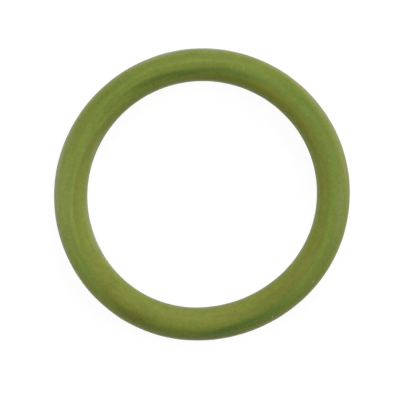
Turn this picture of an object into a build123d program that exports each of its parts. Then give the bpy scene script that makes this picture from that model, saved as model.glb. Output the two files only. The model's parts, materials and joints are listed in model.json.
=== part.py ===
# O-ring: a ring seal of round section, moulded in rubber as one piece.
# It lies flat, with its axis along Z and its centre at the origin. All sizes are in millimetres.

import os

from build123d import *

# Driving dimensions
inside_diameter = 24.99  # across the hole, measured to the round section
section_diameter = 3.53  # thickness of the round section
flash_width = 0.25  # axial width of the trimmed mould flash
flash_height = 0.04  # how far the trimmed flash stands out of the round section

# The circle that the centre of the section follows
centre_line_radius = (inside_diameter + section_diameter) / 2

# The two mould halves part in the ring's mid plane, so a narrow ridge of
# trimmed flash runs round the hole and round the rim, level with the centre.
with BuildPart() as o_ring:
    with BuildSketch(Plane.XZ) as section:
        with Locations((centre_line_radius, 0)):
            Circle(section_diameter / 2)
            Rectangle(section_diameter + 2 * flash_height, flash_width)
    revolve(axis=Axis.Z)
o_ring.part.label = "o_ring"

os.makedirs("parts", exist_ok=True)
export_step(o_ring.part, "parts/o_ring.step")
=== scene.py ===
import json
import math

import bmesh
import bpy
from mathutils import Matrix, Vector, noise


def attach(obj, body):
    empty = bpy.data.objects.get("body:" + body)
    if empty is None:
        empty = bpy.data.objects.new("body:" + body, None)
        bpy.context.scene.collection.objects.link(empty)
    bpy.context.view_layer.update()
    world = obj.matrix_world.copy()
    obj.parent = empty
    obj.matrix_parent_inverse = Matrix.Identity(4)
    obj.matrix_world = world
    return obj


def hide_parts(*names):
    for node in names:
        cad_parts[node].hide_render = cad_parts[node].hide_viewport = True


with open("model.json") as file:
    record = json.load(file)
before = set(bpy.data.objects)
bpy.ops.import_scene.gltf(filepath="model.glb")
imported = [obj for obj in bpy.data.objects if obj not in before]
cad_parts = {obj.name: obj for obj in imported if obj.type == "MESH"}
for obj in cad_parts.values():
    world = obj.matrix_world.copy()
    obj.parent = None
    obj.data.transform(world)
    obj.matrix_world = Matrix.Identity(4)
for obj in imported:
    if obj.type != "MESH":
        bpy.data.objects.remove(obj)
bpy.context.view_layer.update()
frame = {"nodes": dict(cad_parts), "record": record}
mm = 0.001  # Blender works in metres
print("frame loaded:", sorted(frame["nodes"]))

scene = bpy.context.scene
scene.view_settings.view_transform = "Standard"

# the two lands of the mould flash give the ring its size
landOf = {mount["name"]: mount["dims"] for mount in frame["record"]["mounts"]}
holeLand = landOf["spigot_bore"]["r_mm"] * mm
rimLand = landOf["housing_rim"]["r_mm"] * mm
flashWidth = landOf["housing_rim"]["length_mm"] * mm
centreLine = (rimLand + holeLand) / 2

# the ring as it lies: soft rubber, a little out of round
ring = {
    "flashHeight": 0.04 * mm,   # trimmed flash, proud of the round section
    "flashLip": 0.05 * mm,      # width of the slope beside the flash
    "flashLost": 0.55,          # share of the flash height that the trimming takes at most
    "nicks": ((1.1 * mm, 0.5), (4.7 * mm, 1)),  # left by the trimming: length, weight
    "sectionSteps": 120,
    "aroundSteps": 480,
    "fineZone": 1.5,            # flash widths each side of the parting line where the section is finer
    "fineCuts": 3,              # extra cuts in each edge there
    "weld": 0.001 * mm,         # points closer than this become one
    # waves round the ring: how many, size in mm, degrees
    "lobes": ((2, 0.152, 25.5), (3, 0.048, -4.6), (4, 0.015, -18.7), (5, 0.010, 32)),
    "swelling": ((0, 0.005, 0), (1, 0.014, 259), (2, 0.009, -21), (3, 0.0075, -56)),
    "hollowDepth": 0.006 * mm,  # shallow hollows left by the mould
    "hollowLength": 5 * mm,
}
tube = (rimLand - holeLand) / 2 - ring["flashHeight"]  # radius of the round section

# faint line on the upper skin, on a circle a little off the ring's centre
witness = {
    "radius": 13.69 * mm,
    "shift": (1.23 * mm, 250),  # distance and degrees
    "height": 0.012 * mm,
    "outerSlope": 0.45 * mm,    # gentle towards the rim
    "innerSlope": 0.18 * mm,    # steep towards the hole
    "trough": 0.9 * mm,         # width of the darker strip along the steep side, which is painted shade
    "span": (168, 22, 54),      # degrees: middle, whole as far as this, gone by this
}
shiftSize, shiftTurn = witness["shift"]
witnessCentre = Matrix.Rotation(math.radians(shiftTurn), 3, "Z") @ Vector((shiftSize, 0, 0))


def smoothStep(low, high, value):
    t = min(max((value - low) / (high - low), 0), 1)
    return t * t * (3 - 2 * t)


def drawSection(bm):
    upright = Matrix.Rotation(math.radians(90), 4, "X")
    place = Matrix.Translation((centreLine, 0, 0)) @ upright
    bmesh.ops.create_circle(bm, cap_ends=False, segments=ring["sectionSteps"], radius=tube, matrix=place)
    zone = ring["fineZone"] * flashWidth
    nearFlash = [e for e in bm.edges if min(abs(v.co.z) for v in e.verts) < zone]
    bmesh.ops.subdivide_edges(bm, edges=nearFlash, cuts=ring["fineCuts"])
    middle = Vector((centreLine, 0, 0))
    for v in bm.verts:  # the new points lie on chords, so they go back to the arc
        v.co = middle + (v.co - middle).normalized() * tube


def raiseFlash(bm):
    half, lip = flashWidth / 2, ring["flashLip"]
    for v in bm.verts:
        share = 1 - smoothStep(half - lip / 2, half + lip / 2, abs(v.co.z))
        if share == 0:
            continue
        out = Vector((v.co.x, v.co.y, 0))
        side = 1 if out.length > centreLine else -1
        ragged = sum(weight * noise.noise(out / length) for length, weight in ring["nicks"])
        kept = 1 - ring["flashLost"] * min(abs(ragged), 1)
        land = centreLine + side * (tube + ring["flashHeight"] * kept)
        v.co += out.normalized() * (land - out.length) * share


def addWaves(waves, angle):
    return sum(size * mm * math.cos(count * (angle - math.radians(turn))) for count, size, turn in waves)


def layDown(bm):  # the lobes bend the ring, and the swelling widens its section sideways
    for v in bm.verts:
        angle = math.atan2(v.co.y, v.co.x)
        out = Vector((math.cos(angle), math.sin(angle), 0))
        fromCentre = (v.co - out * centreLine).normalized()
        hollow = abs(noise.noise(v.co / ring["hollowLength"])) * ring["hollowDepth"]
        bend = addWaves(ring["lobes"], angle)
        wider = addWaves(ring["swelling"], angle) * fromCentre.dot(out)
        v.co += out * (bend + wider) - fromCentre * hollow


def raiseWitness(bm):
    middle, whole, gone = witness["span"]
    for v in bm.verts:
        if v.co.z < 0:
            continue
        turn = math.degrees(math.atan2(v.co.y, v.co.x)) - middle
        away = abs((turn + 180) % 360 - 180)
        past = (v.co.xy - witnessCentre.xy).length - witness["radius"]
        rise = smoothStep(witness["outerSlope"], 0, past) * smoothStep(-witness["innerSlope"], 0, past)
        v.co.z += witness["height"] * rise * smoothStep(gone, whole, away)


def mouldRing():
    bm = bmesh.new()
    drawSection(bm)
    bmesh.ops.spin(bm, geom=bm.verts[:] + bm.edges[:], cent=(0, 0, 0), axis=(0, 0, 1),
                   angle=math.tau, steps=ring["aroundSteps"], use_merge=True)
    bmesh.ops.remove_doubles(bm, verts=bm.verts[:], dist=ring["weld"])
    bmesh.ops.recalc_face_normals(bm, faces=bm.faces[:])
    raiseFlash(bm)
    layDown(bm)
    raiseWitness(bm)
    for face in bm.faces:
        face.smooth = True
    mesh = bpy.data.meshes.new("oRingSkin")
    bm.to_mesh(mesh)
    bm.free()
    piece = bpy.data.objects.new("oRingSkin", mesh)
    scene.collection.objects.link(piece)
    return piece


oRing = mouldRing()
print("ring moulded:", len(oRing.data.polygons), "faces")

# small helpers for node trees
mixSocket = {"share": 0, "under": 6, "over": 7, "result": 2}  # where a Mix node keeps its colour sockets


def grey(level):
    return (level, level, level, 1)


def addNode(tree, kind, **settings):
    node = tree.nodes.new("ShaderNode" + kind)
    for name, value in settings.items():
        setattr(node, name, value)
    return node


def feed(tree, socket, value):  # a link or a fixed value
    if isinstance(value, bpy.types.NodeSocket):
        tree.links.new(value, socket)
    else:
        socket.default_value = value


def operate(tree, kind, operation, values):
    node = addNode(tree, kind, operation=operation)
    for socket, value in zip(node.inputs, values):
        feed(tree, socket, value)
    return node.outputs


def work(tree, operation, *values):
    return operate(tree, "Math", operation, values)["Value"]


def workVector(tree, operation, *values):
    return operate(tree, "VectorMath", operation, values)["Vector"]


def measure(tree, operation, *values):  # a length or a distance
    return operate(tree, "VectorMath", operation, values)["Value"]


def makeVector(tree, x=0, y=0, z=0):
    node = addNode(tree, "CombineXYZ")
    for socket, value in zip(node.inputs, (x, y, z)):
        feed(tree, socket, value)
    return node.outputs["Vector"]


def turnFrom(tree, around, angle):  # no more than half a turn either way
    return work(tree, "WRAP", work(tree, "SUBTRACT", around, angle), math.pi, -math.pi)


def fade(tree, value, low, high):  # 0 at low, 1 at high
    node = addNode(tree, "MapRange", interpolation_type="SMOOTHSTEP")
    feed(tree, node.inputs["Value"], value)
    node.inputs["From Min"].default_value = low
    node.inputs["From Max"].default_value = high
    return node.outputs["Result"]


def blend(tree, share, under, over):
    node = addNode(tree, "Mix", data_type="RGBA")
    feed(tree, node.inputs[mixSocket["share"]], share)
    feed(tree, node.inputs[mixSocket["under"]], under)
    feed(tree, node.inputs[mixSocket["over"]], over)
    return node.outputs[mixSocket["result"]]


def tintWhere(tree, colour, mask, strength, tint):
    return blend(tree, work(tree, "MULTIPLY", mask, strength), colour, tint)


def cloud(tree, place, size, octaves):  # noise with features about size across, 0 to 1
    node = addNode(tree, "TexNoise")
    tree.links.new(place, node.inputs["Vector"])
    node.inputs["Scale"].default_value = 1 / size
    node.inputs["Detail"].default_value = octaves
    return node.outputs["Fac"]


def centred(tree, cloudy):  # 0 to 1 becomes -0.5 to 0.5
    return work(tree, "SUBTRACT", cloudy, 0.5)


# satin olive rubber, green on the crest and olive brown towards the hole and the rim
rubber = {
    "green": (0.173, 0.235, 0.037, 1),
    "olive": (0.206, 0.234, 0.036, 1),
    "edgeSoft": 0.35 * mm,      # green and olive meet on the circle of the witness line
    "edgeCrisp": 0.13 * mm,     # and more sharply along the line itself
    "edgeWander": 0.5 * mm,
    "rimFade": (0.5, 0.95),     # across the section, green goes to olive again here; at the rim the olive is partly a painted edge reflection
    "mottle": 2.6,              # green and olive run into each other in clouds
    "streaks": 1.8,             # and in streaks along the ring
    "mixRange": (-0.25, 1.25),
    # clouds: size, octaves
    "wanderCloud": (3.5 * mm, 2),
    "mottleCloud": (1.4 * mm, 3),
    "shadeCloud": (0.6 * mm, 4),
    "tintCloud": (0.8 * mm, 3),
    "grainCloud": (0.14 * mm, 2),
    "roughCloud": (1.3 * mm, 4),
    "toolCloud": (0.06, 1),     # size in radii of the section
    "streakSize": (9 * mm, 0.45 * mm),
    "streakOctaves": 2,
    # how much lighter and darker these make the red, green and blue
    "streakDepths": (0.18, 0.18, 0.18),
    "shadeDepths": (0.15, 0.15, 0.15),
    "tintDepths": (0.05, 0, -0.16),
    "grainDepths": (0.34, 0.34, 0.34),
    "topFade": 0.2,             # marks on the top end this near the parting line, in radii of the section
    "patchCore": 0.12,          # share of a patch that is even, before it fades
    "patchWander": {            # how far, and the length and width of the streaks that do it
        "around": (6 * mm, 5 * mm, 0.5 * mm),
        "across": (1.0 * mm, 5 * mm, 1.2 * mm),
    },
    "linePale": 0.13,           # witness line, partly a painted highlight on the ridge
    "troughDark": 0.09,         # strip along it, painted shade of the step
    "landPale": 0.16,           # trimmed flash, dry and a little paler
    "landRough": 0.15,
    "roughness": (0.48, 0.62),
    "shine": 0.16,              # specular level
    "dustSheen": 0.27,          # pale edges of a dry, slightly dusty skin
    "sheenRoughness": 0.35,
    "grainRelief": 0.004 * mm,
    "streakRelief": 0.004 * mm,
    "toolRelief": 0.003 * mm,   # fine turning rings copied from the mould
}

deepGreen = (0.088, 0.145, 0.026, 1)
tealGreen = (0.068, 0.140, 0.030, 1)
freshGreen = (0.195, 0.300, 0.045, 1)
mossGreen = (0.090, 0.152, 0.010, 1)
warmOlive = (0.212, 0.226, 0.020, 1)
darkOlive = (0.100, 0.120, 0.018, 1)
drabOlive = (0.155, 0.165, 0.022, 1)
brown = (0.205, 0.188, 0.016, 1)
warmBrown = (0.250, 0.232, 0.020, 1)
earthBrown = (0.150, 0.142, 0.014, 1)
redBrown = (0.215, 0.160, 0.020, 1)
straw = (0.45, 0.47, 0.09, 1)
paleLineAndHighlight = (0.40, 0.46, 0.12, 1)
pale = (0.42, 0.45, 0.14, 1)
# pale tint, used mostly as a painted highlight on the edges
chalkAndHighlight = (0.42, 0.45, 0.32, 1)
dust = (0.56, 0.58, 0.28, 1)
rust = (0.26, 0.10, 0.03, 1)
soot = (0.05, 0.06, 0.015, 1)

# real stains, painted shade and painted highlights on the upper skin: degrees round, across (1 rim, -1
# hole), drift across for each degree, half length and half width in mm, colour, strength
stainsAndPaintedLight = [
    # brown towards the hole, on the right and upper right
    (38, -0.54, 0, 9.5, 0.74, rubber["olive"], 0.80),
    (0, -0.60, 0, 9.0, 0.68, warmOlive, 0.52),
    # partly real brown, partly painted light: these warm brown and straw patches lighten the hole side
    # where the east lamp's shade falls
    (35, -0.50, 0, 9.0, 0.68, warmBrown, 0.42),
    (58, -0.42, 0, 4.5, 0.54, warmBrown, 0.45),
    (20, -0.74, 0, 5.0, 0.48, straw, 0.07),
    (48, -0.92, 0, 7.0, 0.45, brown, 0.50),
    (78, -0.78, -0.009, 7.5, 0.50, brown, 0.50),
    # painted shade: dark bands from the upper right over the top, deepening the shading there
    (44, 0.48, 0, 8.5, 0.70, mossGreen, 0.44),
    (90, 0.45, 0, 9.0, 0.56, drabOlive, 0.40),
    (80, -0.36, -0.014, 6.0, 0.48, deepGreen, 0.45),
    (101, -0.43, 0.004, 5.5, 0.60, deepGreen, 0.66),
    (110, -0.56, 0, 2.0, 0.40, darkOlive, 0.50),
    (118, -0.40, 0, 4.0, 0.66, deepGreen, 0.58),
    (92, 0.10, 0, 5.5, 0.28, straw, 0.08),
    # green on the upper left; the paler patches on the left are painted light and sheen
    (132, 0.46, 0, 7.0, 0.52, deepGreen, 0.30),
    (134, -0.06, 0, 3.0, 0.40, deepGreen, 0.20),
    (162, 0.00, 0.0095, 7.0, 0.56, pale, 0.06),
    (183, 0.35, 0, 8.5, 0.95, pale, 0.14),
    (182, 0.68, 0, 8.5, 0.46, straw, 0.07),
    (188, -0.72, 0, 9.5, 0.66, straw, 0.07),
    # a fresh patch and then brown ones on the lower left
    (210, 0.50, 0, 1.9, 0.70, freshGreen, 0.50),
    # painted light: this straw patch lightens a spot of shade
    (221, 0.68, 0, 3.0, 0.55, straw, 0.07),
    (225, 0.00, 0, 2.2, 1.30, earthBrown, 0.36),
    (242, 0.50, 0, 4.0, 0.95, darkOlive, 0.32),
    (237, 0.44, 0, 3.6, 1.00, brown, 0.24),
    (243.5, 0.70, -0.055, 1.6, 0.30, redBrown, 0.36),
    (245, -0.10, 0, 3.5, 1.00, darkOlive, 0.22),
    # painted shade: dark green band along the foot, where the skin faces away from the lamps
    (271, 0.97, 0, 7.2, 0.48, deepGreen, 0.52),
    (284, 0.37, -0.0125, 5.6, 0.64, tealGreen, 0.62),
    (301, 0.28, -0.012, 4.4, 0.65, tealGreen, 0.36),
    # brown on the lower right
    (304, -0.32, 0, 7.5, 0.90, darkOlive, 0.36),
    (317, -0.28, 0, 3.0, 0.55, redBrown, 0.26),
    (334, -0.36, 0, 3.0, 0.50, redBrown, 0.24),
    # painted highlight: pale chalky tint along the rim and the hole, where the lamps' sheen grazes the
    # edges; one faint pale patch on the lower right
    (353, 0.50, 0, 4.5, 0.60, chalkAndHighlight, 0.08),
    (30, 0.93, 0, 12.0, 0.38, chalkAndHighlight, 0.14),
    (100, 0.92, 0, 10.0, 0.44, chalkAndHighlight, 0.18),
    (172, 0.92, 0, 11.0, 0.50, chalkAndHighlight, 0.17),
    (160, -0.92, 0, 7.0, 0.42, chalkAndHighlight, 0.18),
    (204, -0.92, 0, 10.0, 0.46, chalkAndHighlight, 0.24),
]

# specks: degrees round, across, half length and half width in mm, colour, strength
specks = [
    (113.5, -0.66, 0.20, 0.15, soot, 0.60),
    (109.5, -0.62, 0.15, 0.12, soot, 0.35),
    (118.5, -0.75, 0.17, 0.12, soot, 0.35),
    (130.5, -0.72, 0.17, 0.12, soot, 0.40),
    (105.5, -0.42, 0.20, 0.14, soot, 0.30),
    (101, -0.49, 0.17, 0.12, soot, 0.30),
    (133, 0.56, 0.14, 0.22, soot, 0.22),
    (286, -0.58, 0.15, 0.15, soot, 0.50),
    (244, 0.51, 0.17, 0.14, soot, 0.30),
    (192, 1.03, 0.15, 0.14, soot, 0.75),
    (245.5, 0.70, 0.18, 0.14, rust, 0.40),
    (248, 0.48, 0.12, 0.12, rust, 0.35),
    (322, 0.67, 0.15, 0.12, dust, 0.60),
    (71.5, 0.11, 0.11, 0.20, dust, 0.32),
    (305, -0.03, 0.13, 0.13, dust, 0.22),
    (300, 0.66, 0.13, 0.13, dust, 0.50),
    (244.5, 0.63, 0.12, 0.11, dust, 0.22),
    (245.5, 0.79, 0.12, 0.11, dust, 0.22),
]


def makePatchGroup():  # soft oval that bends with the ring
    group = bpy.data.node_groups.new("ringPatch", "ShaderNodeTree")
    for name in ("Around", "Across", "Angle", "At", "Drift", "Half Length", "Half Width"):
        group.interface.new_socket(name, in_out="INPUT", socket_type="NodeSocketFloat")
    group.interface.new_socket("Mask", in_out="OUTPUT", socket_type="NodeSocketFloat")
    given = group.nodes.new("NodeGroupInput").outputs
    turn = turnFrom(group, given["Around"], given["Angle"])
    middle = work(group, "MULTIPLY_ADD", turn, given["Drift"], given["At"])
    off = work(group, "SUBTRACT", given["Across"], middle)
    along = work(group, "DIVIDE", turn, given["Half Length"])
    over = work(group, "DIVIDE", off, given["Half Width"])
    reach = measure(group, "LENGTH", makeVector(group, along, over))
    put = group.nodes.new("NodeGroupOutput")
    group.links.new(fade(group, reach, 1, rubber["patchCore"]), put.inputs["Mask"])
    return group


def spread(tree, group, spot, angle, at, drift, halfLength, halfWidth):
    patch = addNode(tree, "Group", node_tree=group)
    feed(tree, patch.inputs["Around"], spot["around"])
    feed(tree, patch.inputs["Across"], spot["across"])
    patch.inputs["Angle"].default_value = math.radians(angle)
    patch.inputs["At"].default_value = at
    patch.inputs["Drift"].default_value = math.degrees(drift)  # for each radian
    patch.inputs["Half Length"].default_value = halfLength * mm / centreLine
    patch.inputs["Half Width"].default_value = halfWidth * mm / tube
    return work(tree, "MULTIPLY", patch.outputs["Mask"], spot["upper"])


def findSpot(tree):  # where a point of the skin lies on the ring
    place = addNode(tree, "TexCoord").outputs["Object"]
    parts = addNode(tree, "SeparateXYZ")
    tree.links.new(place, parts.inputs["Vector"])
    x, y, z = parts.outputs
    flat = makeVector(tree, x, y)
    offset = work(tree, "SUBTRACT", measure(tree, "LENGTH", flat), centreLine)
    topFade = rubber["topFade"] * tube
    return {
        "place": place,
        "flat": flat,
        "z": z,
        "around": work(tree, "ARCTAN2", y, x),
        "across": work(tree, "DIVIDE", offset, tube),
        "girth": work(tree, "ARCTAN2", z, offset),  # angle round the section
        "upper": fade(tree, z, -topFade, topFade),
    }


def streak(tree, spot, length, width):  # noise drawn out along the ring, 0 to 1
    rounds = centreLine / length
    along = workVector(tree, "MULTIPLY", workVector(tree, "NORMALIZE", spot["flat"]), (rounds,) * 3)
    girth = makeVector(tree, z=work(tree, "MULTIPLY", spot["girth"], tube / width))
    return cloud(tree, workVector(tree, "ADD", along, girth), 1, rubber["streakOctaves"])


def shadeBy(tree, colour, cloudy, depths):  # darker where the cloud is 0, lighter where it is 1
    darkest = [1 - depth for depth in depths]
    swing = [2 * depth for depth in depths]
    return workVector(tree, "MULTIPLY", colour, workVector(tree, "MULTIPLY_ADD", cloudy, swing, darkest))


def findWitness(tree, spot):  # distance past the witness circle, and 1 along the part that shows as a line
    past = work(tree, "SUBTRACT", measure(tree, "DISTANCE", spot["flat"], witnessCentre), witness["radius"])
    middle, whole, gone = (math.radians(a) for a in witness["span"])
    turn = turnFrom(tree, spot["around"], middle)
    span = fade(tree, work(tree, "ABSOLUTE", turn), gone, whole)
    return past, work(tree, "MULTIPLY", span, spot["upper"])


def findLand(tree, spot):  # 1 on the trimmed flash
    half, lip = flashWidth / 2, ring["flashLip"]
    return fade(tree, work(tree, "ABSOLUTE", spot["z"]), half + lip, half - lip)


def mixGreens(tree, spot, streaky, past, span):
    # green outside the witness circle, olive inside it and at the rim, where it is partly a painted edge
    # reflection
    wander = centred(tree, cloud(tree, spot["place"], *rubber["wanderCloud"]))
    wander = work(tree, "MULTIPLY", wander, work(tree, "SUBTRACT", 1, span))
    edge = work(tree, "MULTIPLY_ADD", wander, rubber["edgeWander"], past)
    soft, crisp = rubber["edgeSoft"], rubber["edgeCrisp"]
    width = work(tree, "MULTIPLY_ADD", span, crisp - soft, soft)
    green = fade(tree, work(tree, "DIVIDE", edge, width), -1, 1)
    low, high = rubber["rimFade"]
    green = work(tree, "MULTIPLY", green, fade(tree, spot["across"], high, low))
    clouds = centred(tree, cloud(tree, spot["place"], *rubber["mottleCloud"]))
    green = work(tree, "MULTIPLY_ADD", clouds, rubber["mottle"], green)
    green = work(tree, "MULTIPLY_ADD", centred(tree, streaky), rubber["streaks"], green)
    return blend(tree, fade(tree, green, *rubber["mixRange"]), rubber["olive"], rubber["green"])


def goAstray(tree, spot):  # the same spot a little off its place, which gives the patches uneven edges
    astray = dict(spot)
    for way, unit in (("around", centreLine), ("across", tube)):
        far, length, width = rubber["patchWander"][way]
        off = centred(tree, streak(tree, spot, length, width))
        astray[way] = work(tree, "MULTIPLY_ADD", off, far / unit, spot[way])
    return astray


# lays the real stains, the painted shade and the painted highlights, then the specks
def dropStainsAndPaintedLight(tree, spot, colour):
    patchGroup = makePatchGroup()
    astray = goAstray(tree, spot)
    for *patch, tint, strength in stainsAndPaintedLight:
        mask = spread(tree, patchGroup, astray, *patch)
        colour = tintWhere(tree, colour, mask, strength, tint)
    for angle, at, halfLength, halfWidth, tint, strength in specks:
        mask = spread(tree, patchGroup, spot, angle, at, 0, halfLength, halfWidth)
        colour = tintWhere(tree, colour, mask, strength, tint)
    return colour


def drawWitness(tree, past, span, colour):  # a paler line, partly a painted highlight on the ridge, with a darker strip of painted shade along its steep side
    outer, inner, trough = witness["outerSlope"], witness["innerSlope"], witness["trough"]
    line = work(tree, "MULTIPLY", fade(tree, past, outer, 0), fade(tree, past, -inner, 0))
    line = work(tree, "MULTIPLY", line, span)
    colour = tintWhere(tree, colour, line, rubber["linePale"], paleLineAndHighlight)
    strip = work(tree, "MULTIPLY", fade(tree, past, 0, -inner), fade(tree, past, -trough, -inner))
    strip = work(tree, "MULTIPLY", strip, span)
    return tintWhere(tree, colour, strip, rubber["troughDark"], darkOlive)


def shadeSkin(tree, place, streaky, grain, colour):
    shade = cloud(tree, place, *rubber["shadeCloud"])
    tint = cloud(tree, place, *rubber["tintCloud"])
    colour = shadeBy(tree, colour, streaky, rubber["streakDepths"])
    colour = shadeBy(tree, colour, shade, rubber["shadeDepths"])
    colour = shadeBy(tree, colour, tint, rubber["tintDepths"])
    return shadeBy(tree, colour, grain, rubber["grainDepths"])


def roughen(tree, place, land):
    smooth, coarse = rubber["roughness"]
    patchy = cloud(tree, place, *rubber["roughCloud"])
    rough = work(tree, "MULTIPLY_ADD", patchy, coarse - smooth, smooth)
    return work(tree, "MULTIPLY_ADD", land, rubber["landRough"], rough)


def emboss(tree, spot, streaky, grain):  # relief in metres: grain, streaks, turning rings
    section = makeVector(tree, spot["across"], work(tree, "DIVIDE", spot["z"], tube))
    tooling = cloud(tree, section, *rubber["toolCloud"])
    relief = work(tree, "MULTIPLY", grain, rubber["grainRelief"])
    relief = work(tree, "MULTIPLY_ADD", streaky, rubber["streakRelief"], relief)
    relief = work(tree, "MULTIPLY_ADD", tooling, rubber["toolRelief"], relief)
    bump = addNode(tree, "Bump")
    bump.inputs["Distance"].default_value = 1  # so that the height counts in metres
    tree.links.new(relief, bump.inputs["Height"])
    return bump.outputs["Normal"]


def makeRubber():
    material = bpy.data.materials.new("satinOliveRubber")
    material.use_nodes = True
    tree = material.node_tree
    shader = tree.nodes["Principled BSDF"]
    shader.inputs["Specular IOR Level"].default_value = rubber["shine"]
    shader.inputs["Sheen Weight"].default_value = rubber["dustSheen"]
    shader.inputs["Sheen Roughness"].default_value = rubber["sheenRoughness"]

    spot = findSpot(tree)
    place = spot["place"]
    streaky = streak(tree, spot, *rubber["streakSize"])
    grain = cloud(tree, place, *rubber["grainCloud"])
    past, span = findWitness(tree, spot)
    land = findLand(tree, spot)

    colour = mixGreens(tree, spot, streaky, past, span)
    colour = dropStainsAndPaintedLight(tree, spot, colour)
    colour = drawWitness(tree, past, span, colour)
    colour = tintWhere(tree, colour, land, rubber["landPale"], straw)
    colour = shadeSkin(tree, place, streaky, grain, colour)
    tree.links.new(colour, shader.inputs["Base Color"])
    tree.links.new(roughen(tree, place, land), shader.inputs["Roughness"])
    tree.links.new(emboss(tree, spot, streaky, grain), shader.inputs["Normal"])
    return material


oRing.data.materials.append(makeRubber())
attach(oRing, "root")
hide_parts("o_ring")
print("rubber on:", len(stainsAndPaintedLight), "stains,", len(specks), "specks")

# white table under the ring
table = {
    "reach": 3.0,         # metres from the centre to the edge
    "white": 0.75,
    "shadowDepth": 0.09,  # how much of the shadow the camera sees
    "glow": 0.94,
}


def layTable():
    bm = bmesh.new()
    below = Matrix.Translation((0, 0, -tube))
    bmesh.ops.create_grid(bm, x_segments=1, y_segments=1, size=table["reach"], matrix=below)
    mesh = bpy.data.meshes.new("table")
    bm.to_mesh(mesh)
    bm.free()
    top = bpy.data.objects.new("table", mesh)
    scene.collection.objects.link(top)
    return top


def makeTableWhite():  # white to the camera and in reflections, plain pale grey to the light
    material = bpy.data.materials.new("whiteTable")
    material.use_nodes = True
    tree = material.node_tree
    tree.nodes.clear()
    path = addNode(tree, "LightPath").outputs
    seen = work(tree, "MAXIMUM", path["Is Camera Ray"], path["Is Glossy Ray"])
    seen = work(tree, "MAXIMUM", seen, path["Is Transmission Ray"])
    plain = addNode(tree, "BsdfDiffuse")
    plain.inputs["Color"].default_value = grey(table["white"])
    shaded = addNode(tree, "BsdfDiffuse")
    shaded.inputs["Color"].default_value = grey(table["shadowDepth"])
    glow = addNode(tree, "Emission")
    glow.inputs["Strength"].default_value = table["glow"]
    both = addNode(tree, "AddShader")
    tree.links.new(shaded.outputs[0], both.inputs[0])
    tree.links.new(glow.outputs[0], both.inputs[1])
    pick = addNode(tree, "MixShader")
    tree.links.new(seen, pick.inputs["Fac"])
    tree.links.new(plain.outputs[0], pick.inputs[1])
    tree.links.new(both.outputs[0], pick.inputs[2])
    output = addNode(tree, "OutputMaterial")
    tree.links.new(pick.outputs[0], output.inputs["Surface"])
    return material


tableTop = layTable()
tableTop.data.materials.append(makeTableWhite())
print("table laid")

# soft lamps: turn and height in degrees, distance and width in metres, level
lamps = {
    "eastSoftbox": (3, 33, 0.424, 0.36, 0.65),
    "westSoftbox": (185, 30, 0.18, 0.16, 0.555),
    "northSoftbox": (77, 71, 0.40, 0.36, 0.19),
    "backFill": (78, 33, 0.32, 0.17, 0.46),
}
roomGrey = 0.03  # dim light from all round


def hangLamp(name, turn, height, distance, width, level):
    lamp = bpy.data.lights.new(name, "AREA")
    lamp.shape = "DISK"
    lamp.size = width
    lamp.energy = math.pi ** 2 * distance ** 2 * level  # level 1, straight on, shows a colour as written
    turn, height = math.radians(turn), math.radians(height)
    flat = math.cos(height)
    place = Vector((math.cos(turn) * flat, math.sin(turn) * flat, math.sin(height)))
    hung = bpy.data.objects.new(name, lamp)
    hung.location = place * distance
    hung.rotation_euler = place.to_track_quat("Z", "Y").to_euler()
    hung.visible_camera = False
    scene.collection.objects.link(hung)


def lightRoom():
    room = bpy.data.worlds.new("room")
    room.use_nodes = True
    room.node_tree.nodes["Background"].inputs["Color"].default_value = grey(roomGrey)
    scene.world = room


for name, lamp in lamps.items():
    hangLamp(name, *lamp)
lightRoom()
print("lamps hung:", len(lamps))

# camera straight above, framed on the picture's 400 by 400 pixels
picture = {
    "pixels": 400,
    "ringCentre": (201.72, 194.43),  # pixel under the ring's centre
    "ringRadius": 130.43,            # pixels from there to the middle of the rubber
    "distance": 0.4,                 # metres
    "sensor": 36.0,                  # mm
}


def standCamera():
    perPixel = centreLine / picture["ringRadius"]
    half = picture["pixels"] / 2
    camera = bpy.data.cameras.new("camera")
    camera.sensor_width = picture["sensor"]
    camera.lens = picture["sensor"] * picture["distance"] / (picture["pixels"] * perPixel)
    stood = bpy.data.objects.new("camera", camera)
    pixelX, pixelY = picture["ringCentre"]
    stood.location = ((half - pixelX) * perPixel, (pixelY - half) * perPixel, picture["distance"])
    scene.collection.objects.link(stood)
    scene.camera = stood


standCamera()
print("camera stood")
